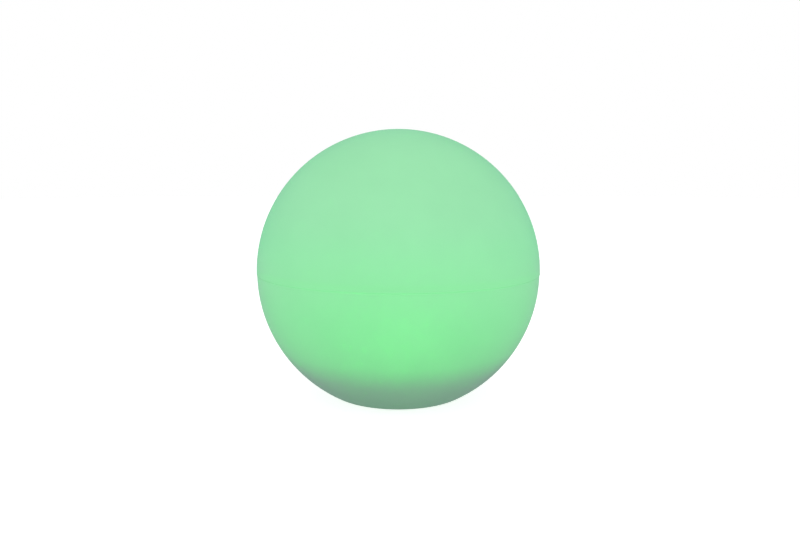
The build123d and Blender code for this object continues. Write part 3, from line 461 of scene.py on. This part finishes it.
# %% [markdown]
# ## Circuit boards
# A board is glass cloth under solder mask, and its copper tracks show through as slightly raised
# lines in another shade. Tracks run in bundles that change direction, so a Voronoi texture with
# square cells divides the board into patches. Each patch picks one of the two directions by chance
# or stays plain, and a ping-pong of that coordinate draws lines of an even width.

# %% A board's tracks
TRACK_PITCH = 0.0011
TRACK_WIDTH = 0.00035
PATCH_SIZE = 0.007
PATCH_DISORDER = 0.8
TURNED_ABOVE, WIRED_ABOVE = 0.5, 0.3


def track_share(board, first, second):
    """1 on a track and 0 between tracks, from the two coordinates along the board."""
    flat = add_node(board, "CombineXYZ", links=[("X", first), ("Y", second)])
    patches = add_node(
        board,
        "TexVoronoi",
        links=[("Vector", flat.outputs["Vector"])],
        values=[("Scale", 1.0 / PATCH_SIZE), ("Randomness", PATCH_DISORDER)],
        voronoi_dimensions="2D",
        distance="CHEBYCHEV",
    )
    chance = add_node(board, "SeparateColor", links=[("Color", patches.outputs["Color"])])
    turned = math_step(board, "GREATER_THAN", chance.outputs["Red"], TURNED_ABOVE)
    wired = math_step(board, "GREATER_THAN", chance.outputs["Green"], WIRED_ABOVE)
    across = add_node(board, "Mix", links=[(0, turned), (2, first), (3, second)]).outputs[0]
    sway = math_step(board, "PINGPONG", across, TRACK_PITCH / 2)
    line = math_step(board, "LESS_THAN", sway, TRACK_WIDTH / 2)
    return math_step(board, "MULTIPLY", line, wired)


# %% [markdown]
# The control and protection boards wear green mask, and the light board wears white, which throws
# the light forward. A sawn edge shows the bare glass, so the colour also depends on how near a
# point lies to the board's faces. A board may lie or stand, so its thinnest side tells which way it
# faces.

# %% Green and white boards
GREEN_MASK, GREEN_TRACK = (0.02, 0.14, 0.06), (0.05, 0.24, 0.11)
WHITE_MASK, WHITE_TRACK = (0.82, 0.82, 0.80), (0.73, 0.73, 0.71)
BARE_GLASS = (0.46, 0.44, 0.26)
FACE_SKIN = 0.00005
TRACK_RAISE = 0.00004


def dress_board(node, mask, track):
    """Solder mask over copper tracks on a board that may lie or stand."""
    low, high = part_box(node)
    thin = min(range(3), key=lambda axis: (high - low)[axis])
    board = make_finish(node + "_mask", Roughness=0.35, Specular_IOR_Level=0.5)
    place = add_node(board, "SeparateXYZ", links=[("Vector", place_of(board))])
    first, second = (place.outputs[axis] for axis in range(3) if axis != thin)
    copper = track_share(board, first, second)
    middle = (low[thin] + high[thin]) / 2
    depth = math_step(board, "SUBTRACT", place.outputs[thin], middle)
    from_middle = math_step(board, "ABSOLUTE", depth)
    on_face = math_step(board, "GREATER_THAN", from_middle, (high - low)[thin] / 2 - FACE_SKIN)
    face_colour = blend_colours(board, copper, mask, track)
    feed(board, "Base Color", blend_colours(board, on_face, BARE_GLASS, face_colour))
    relief = add_node(
        board,
        "Bump",
        links=[("Height", copper)],
        values=[("Strength", 0.4), ("Distance", TRACK_RAISE)],
    )
    feed(board, "Normal", relief.outputs["Normal"])
    dress(board, node)


dress_board("control_board", GREEN_MASK, GREEN_TRACK)
dress_board("protection_board", GREEN_MASK, GREEN_TRACK)
dress_board("led_board", WHITE_MASK, WHITE_TRACK)

# %% [markdown]
# ## Cells and wires
# Each cell wears a shrunk blue sleeve, glossy and very slightly wavy. The wires of a lead lie side
# by side along X, so a ramp without blending, read across the lead, gives each wire its own colour.

# %% Sleeves of cells and wires
cell_sleeve = make_finish("cell_sleeve")
add_mottle(cell_sleeve, size=0.01, low=(0.035, 0.12, 0.30), high=(0.05, 0.15, 0.36))
add_polish(cell_sleeve, size=0.003, low=0.2, high=0.4)
add_grain(cell_sleeve, size=0.002, depth=0.00005, strength=0.25)
dress(cell_sleeve, "battery_cells")

RED, GREEN, BLUE = (0.50, 0.03, 0.03), (0.03, 0.28, 0.07), (0.03, 0.07, 0.40)
WHITE, BLACK = (0.75, 0.75, 0.73), (0.02, 0.02, 0.02)


def dress_lead(node, colours):
    """Wire sleeves whose colour changes from wire to wire across the lead."""
    low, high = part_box(node)
    sleeve = make_finish(node + "_sleeves")
    place = add_node(sleeve, "SeparateXYZ", links=[("Vector", place_of(sleeve))])
    start = math_step(sleeve, "SUBTRACT", place.outputs["X"], low.x)
    across = math_step(sleeve, "DIVIDE", start, high.x - low.x)
    wires = add_node(sleeve, "ValToRGB", links=[("Fac", across)])
    wires.color_ramp.interpolation = "CONSTANT"
    set_stops(wires, {index / len(colours): colour for index, colour in enumerate(colours)})
    feed(sleeve, "Base Color", wires.outputs["Color"])
    add_polish(sleeve, size=0.001, low=0.32, high=0.48)
    dress(sleeve, node)


dress_lead("led_lead", (BLACK, RED, GREEN, BLUE, WHITE))
dress_lead("battery_lead", (BLACK, RED))

# %% [markdown]
# ## Lights, lens and light pipe
# Seventeen small lights sit under a frosted lens. The lens is what the ball shows as its bright
# patch, so it is by far the brightest thing here, and a nearly pure green, because only the green
# lights are on. The light pipe beside the port is clear acrylic.

# %% Lens and clear plastic
frosted_lens = make_finish(
    "frosted_lens", Roughness=0.5, Emission_Color=(0.0, 1.0, 0.02, 1.0), Emission_Strength=48.0
)
add_mottle(frosted_lens, size=0.01, low=(0.80, 0.86, 0.82), high=(0.86, 0.91, 0.88))
add_grain(frosted_lens, size=0.0004, depth=0.00004, strength=0.5)
dress(frosted_lens, "lens_dome")

light_pipe = make_finish("clear_light_pipe", Roughness=0.15, IOR=1.49, Transmission_Weight=0.8)
add_mottle(light_pipe, size=0.002, low=(0.84, 0.88, 0.90), high=(0.92, 0.95, 0.96))
dress(light_pipe, "charge_light_pipe")

led_body = make_finish(
    "led_body", Roughness=0.3, Emission_Color=(0.25, 0.9, 0.35, 1.0), Emission_Strength=0.3
)
add_mottle(led_body, size=0.002, low=(0.80, 0.78, 0.66), high=(0.86, 0.84, 0.74))
dress(led_body, "led_packages")

# %% [markdown]
# ## Gel in the lights
# Each light is a white package with a round well of yellow gel. The wells are empty in the solid
# model, so this lesson fills them. Pieces made here start as a bmesh, and a helper closes one into
# an object, gives it a finish and lets it ride on the body that it belongs to.

# %% Close a piece


def finish_piece(name, mesh, material, body):
    """Closes a bmesh into an object that rides on a body."""
    bmesh.ops.remove_doubles(mesh, verts=mesh.verts, dist=1e-7)
    bmesh.ops.recalc_face_normals(mesh, faces=mesh.faces)
    data = bpy.data.meshes.new(name)
    mesh.to_mesh(data)
    mesh.free()
    data.materials.append(material)
    piece = bpy.data.objects.new(name, data)
    bpy.context.scene.collection.objects.link(piece)
    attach(piece, body)
    print(name, "has", len(data.polygons), "faces and rides on", body)


# %% [markdown]
# A shallow disc fills each well, slightly sunk, as gel is when it sets. One cone per well, nearly a
# cylinder, is enough. The lights sit on two circles.

# %% Gel fillings
OUTER_CIRCLE, OUTER_LIGHTS = 0.018, 12
INNER_CIRCLE, INNER_LIGHTS = 0.0085, 5
FIRST_LIGHT = radians(15)
GEL_RADIUS, GEL_TOP_RADIUS = 0.00195, 0.0017
GEL_DEPTH = 0.0003
GEL_SUNK = 0.0001
GEL_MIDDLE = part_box("led_packages")[1].z - GEL_SUNK - GEL_DEPTH / 2

gel = make_finish(
    "phosphor_gel", Roughness=0.2, Emission_Color=(0.3, 1.0, 0.4, 1.0), Emission_Strength=0.8
)
add_mottle(gel, size=0.001, low=(0.80, 0.62, 0.12), high=(0.86, 0.72, 0.22))
fillings = bmesh.new()
for circle, count in ((OUTER_CIRCLE, OUTER_LIGHTS), (INNER_CIRCLE, INNER_LIGHTS)):
    for index in range(count):
        turn = FIRST_LIGHT + 2 * pi * index / count
        bmesh.ops.create_cone(
            fillings,
            cap_ends=True,
            segments=24,
            radius1=GEL_RADIUS,
            radius2=GEL_TOP_RADIUS,
            depth=GEL_DEPTH,
            matrix=Matrix.Translation((circle * cos(turn), circle * sin(turn), GEL_MIDDLE)),
        )
finish_piece("phosphor_fillings", fillings, gel, "light_module")

# %% [markdown]
# ## Marks on the underside
# Nothing on the ball is printed, but the underside needs two marks: which disc is the switch, and
# which way the module twists out. They are moulded a fifth of a millimetre proud and filled with
# another grey. A small upright section spun about a vertical axis gives an arc, and a flat outline
# extruded downwards gives a bar or an arrow's head.

# %% Bars and arcs
MARK_RAISE = 0.0002
ARC_STEPS = 24


def add_plate(mesh, outline, face):
    """A flat plate with that outline, half sunk in a face at that height."""
    corners = [mesh.verts.new((x, y, face + MARK_RAISE)) for x, y in outline]
    raised = bmesh.ops.extrude_face_region(mesh, geom=[mesh.faces.new(corners)])
    moved = [item for item in raised["geom"] if isinstance(item, bmesh.types.BMVert)]
    bmesh.ops.translate(mesh, verts=moved, vec=(0, 0, -2 * MARK_RAISE))


def add_arc(mesh, middle, radius, width, start, sweep, face):
    """A flat arc about a vertical axis, half sunk in a face at that height."""
    inner, outer = radius - width / 2, radius + width / 2
    low, high = face - MARK_RAISE, face + MARK_RAISE
    turn = Matrix.Rotation(start, 3, "Z")
    corners = [(inner, low), (outer, low), (outer, high), (inner, high)]
    section = mesh.faces.new(
        [mesh.verts.new(Vector(middle) + turn @ Vector((x, 0, z))) for x, z in corners]
    )
    bmesh.ops.spin(
        mesh,
        geom=[section, *section.edges, *section.verts],
        cent=middle,
        axis=(0, 0, 1),
        angle=sweep,
        steps=ARC_STEPS,
        use_duplicate=False,
    )


# %% [markdown]
# A ring with a gap at the top and a bar in the gap is the common sign for a switch. It is one arc
# and one bar, set out from the middle of the button, and a paler grey than the rubber.

# %% Switch symbol
SYMBOL_RADIUS = 0.0036
SYMBOL_LINE = 0.0008
SYMBOL_GAP = radians(60)
BAR_START, BAR_END = 0.0014, 0.0050

button_low, button_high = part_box("power_button")
button_x = (button_low.x + button_high.x) / 2
button_y = (button_low.y + button_high.y) / 2
symbol = bmesh.new()
add_arc(
    symbol,
    (button_x, button_y, 0),
    SYMBOL_RADIUS,
    SYMBOL_LINE,
    pi / 2 + SYMBOL_GAP / 2,
    2 * pi - SYMBOL_GAP,
    button_low.z,
)
bar_left, bar_right = button_x - SYMBOL_LINE / 2, button_x + SYMBOL_LINE / 2
bar_low, bar_high = button_y + BAR_START, button_y + BAR_END
add_plate(
    symbol,
    [(bar_left, bar_low), (bar_right, bar_low), (bar_right, bar_high), (bar_left, bar_high)],
    button_low.z,
)
pale_mark = make_finish("pale_mark", Roughness=0.6)
add_mottle(pale_mark, size=0.002, low=(0.62, 0.64, 0.64), high=(0.70, 0.72, 0.72))
add_grain(pale_mark, size=0.0003, depth=0.00002)
finish_piece("switch_symbol", symbol, pale_mark, "button")

# %% [markdown]
# Two arrows on the cover show which way the module turns to come out. Each is a long arc with a
# triangle on its end, in a dark grey, because a pale mark would be lost on the light cover. They
# ride on the module, so they turn with it.

# %% Twist arrows
ARROW_INSET = 0.0055
ARROW_LINE = 0.0012
ARROW_SWEEP = radians(50)
HEAD_LENGTH = radians(5)
HEAD_HALF = 0.0024
ARROW_STARTS = (radians(65), radians(245))


def around(radius, angle):
    """A point on a circle about the lamp's axis."""
    return radius * cos(angle), radius * sin(angle)


cover_low, cover_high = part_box("base_cover")
cover_face = cover_low.z
arrow_circle = cover_high.x - ARROW_INSET
arrows = bmesh.new()
for start in ARROW_STARTS:
    add_arc(arrows, (0, 0, 0), arrow_circle, ARROW_LINE, start, ARROW_SWEEP, cover_face)
    head = [
        around(arrow_circle - HEAD_HALF, start),
        around(arrow_circle + HEAD_HALF, start),
        around(arrow_circle, start - HEAD_LENGTH),
    ]
    add_plate(arrows, head, cover_face)
dark_mark = make_finish("dark_mark", Roughness=0.6)
add_mottle(dark_mark, size=0.002, low=(0.16, 0.17, 0.17), high=(0.21, 0.22, 0.22))
add_grain(dark_mark, size=0.0003, depth=0.00002)
finish_piece("twist_arrows", arrows, dark_mark, "light_module")

# %% [markdown]
# ## Floor and world
# The lamp is shown on plain white. The floor is a wide ring with a hole under the foot, bridged
# from two circles, so a view from below shows the underside in the same light.

# %% Floor
FLOOR_REACH = 6.0
HOLE_CLEARANCE = 0.0025
HOLE_RADIUS = cover_high.x + HOLE_CLEARANCE

floor_mesh = bmesh.new()
for reach in (HOLE_RADIUS, FLOOR_REACH):
    bmesh.ops.create_circle(floor_mesh, segments=96, radius=reach)
bmesh.ops.bridge_loops(floor_mesh, edges=floor_mesh.edges)
bmesh.ops.recalc_face_normals(floor_mesh, faces=floor_mesh.faces)
if floor_mesh.faces[:][0].normal.z < 0:
    bmesh.ops.reverse_faces(floor_mesh, faces=floor_mesh.faces)
floor_data = bpy.data.meshes.new("floor")
floor_mesh.to_mesh(floor_data)
floor_mesh.free()
floor = bpy.data.objects.new("floor", floor_data)
bpy.context.scene.collection.objects.link(floor)
print("floor faces up:", floor_data.polygons[0].normal.z > 0)

# %% [markdown]
# A floor that lit the lamp as strongly as it looks would bleach the green. A Light Path node tells
# what the camera or a reflection meets from light on its way between surfaces, so the floor and the
# world can look white and still light the lamp softly.

# %% White to the eye


def white_to_eye(tree, unseen, seen):
    """A strength that is one value for light on its way and another for what the eye meets."""
    paths = tree.nodes.new("ShaderNodeLightPath")
    met = paths.outputs["Is Camera Ray"]
    for label in ("Is Glossy Ray", "Is Transmission Ray"):
        either = tree.nodes.new("ShaderNodeMath")
        either.operation = "MAXIMUM"
        tree.links.new(met, either.inputs[0])
        tree.links.new(paths.outputs[label], either.inputs[1])
        met = either.outputs[0]
    strength = tree.nodes.new("ShaderNodeMapRange")
    strength.inputs["To Min"].default_value = unseen
    strength.inputs["To Max"].default_value = seen
    tree.links.new(met, strength.inputs["Value"])
    return strength.outputs["Result"]


# %% [markdown]
# The floor's finish glows only to the eye. Its lower side is see-through: a Mix Shader takes the
# Transparent shader wherever a ray meets the back of a face.

# %% Floor finish
FLOOR_LIGHT, FLOOR_LOOK = 0.0, 0.8

floor_white = make_finish(
    "floor_white", Base_Color=(0.5, 0.5, 0.5, 1.0), Roughness=0.9, Emission_Color=(1, 1, 1, 1)
)
floor_tree = floor_white.node_tree
feed(floor_white, "Emission Strength", white_to_eye(floor_tree, FLOOR_LIGHT, FLOOR_LOOK))
one_way = add_node(
    floor_white,
    "MixShader",
    links=[
        (0, add_node(floor_white, "NewGeometry").outputs["Backfacing"]),
        (1, floor_tree.nodes["Principled BSDF"].outputs[0]),
        (2, add_node(floor_white, "BsdfTransparent").outputs[0]),
    ],
)
floor_tree.links.new(one_way.outputs[0], floor_tree.nodes["Material Output"].inputs["Surface"])
floor_data.materials.append(floor_white)
print("the floor looks", FLOOR_LOOK, "bright and lights at", FLOOR_LIGHT)

# %% [markdown]
# The world is the backdrop. It looks pure white but lights the lamp at half that, so the ball keeps
# its green.

# %% World
WORLD_LIGHT, WORLD_LOOK = 0.5, 1.0

world = bpy.data.worlds.new("studio")
bpy.context.scene.world = world
world.use_nodes = True
sky = world.node_tree.nodes["Background"]
sky.inputs["Color"].default_value = (1, 1, 1, 1)
sky_strength = white_to_eye(world.node_tree, WORLD_LIGHT, WORLD_LOOK)
world.node_tree.links.new(sky_strength, sky.inputs["Strength"])
print("the world looks", WORLD_LOOK, "bright and lights at", WORLD_LIGHT)

# %% [markdown]
# ## Softboxes
# Three large area lamps, one overhead and one at each side, light the skin evenly and leave a soft
# shadow under the ball. They are weak, because the lamp's own light does most of the work.

# %% Softboxes
BALL_CENTRE = Vector((0.0, 0.0, SEAM_HEIGHT))


def add_softbox(name, place, size, power):
    """A square area lamp that faces the ball."""
    lamp = bpy.data.lights.new(name, "AREA")
    lamp.size = size
    lamp.energy = power
    holder = bpy.data.objects.new(name, lamp)
    holder.location = place
    holder.rotation_euler = (BALL_CENTRE - Vector(place)).to_track_quat("-Z", "Y").to_euler()
    bpy.context.scene.collection.objects.link(holder)
    print(name, "of", power, "watts at", place)


add_softbox("overhead_softbox", place=(0.0, -0.2, 1.5), size=1.6, power=9.0)
add_softbox("left_softbox", place=(-1.3, -0.8, 0.7), size=1.0, power=5.0)
add_softbox("right_softbox", place=(1.3, -0.8, 0.7), size=1.0, power=5.0)

# %% [markdown]
# ## Camera
# The seam's curve shows how high the camera stood: about eight degrees above the ball's middle. The
# ball's place in the picture and its flattened foot give the rest, a camera about five radii away.
# Two small shifts, in pixels, put the ball where the picture has it, a little off the middle.

# %% Camera
BALL_RADIUS = BALL_TOP - SEAM_HEIGHT
CAMERA_DISTANCE = 5.0 * BALL_RADIUS
CAMERA_RISE = radians(7.8)
SENSOR_WIDTH, FOCAL_LENGTH = 36.0, 31.25
PICTURE_WIDTH = 800
LEFT_BY, LOWER_BY = 1.7, 3.6

photo_lens = bpy.data.cameras.new("photo_camera")
photo_lens.sensor_fit = "HORIZONTAL"
photo_lens.sensor_width = SENSOR_WIDTH
photo_lens.lens = FOCAL_LENGTH
photo_lens.shift_x = LEFT_BY / PICTURE_WIDTH
photo_lens.shift_y = LOWER_BY / PICTURE_WIDTH
camera = bpy.data.objects.new("photo_camera", photo_lens)
towards_camera = Vector((0, -cos(CAMERA_RISE), sin(CAMERA_RISE)))
camera.location = BALL_CENTRE + CAMERA_DISTANCE * towards_camera
camera.rotation_euler = (-towards_camera).to_track_quat("-Z", "Y").to_euler()
bpy.context.scene.collection.objects.link(camera)
bpy.context.scene.camera = camera
bpy.context.scene.view_settings.view_transform = "Standard"
print("camera at", tuple(round(value, 3) for value in camera.location))
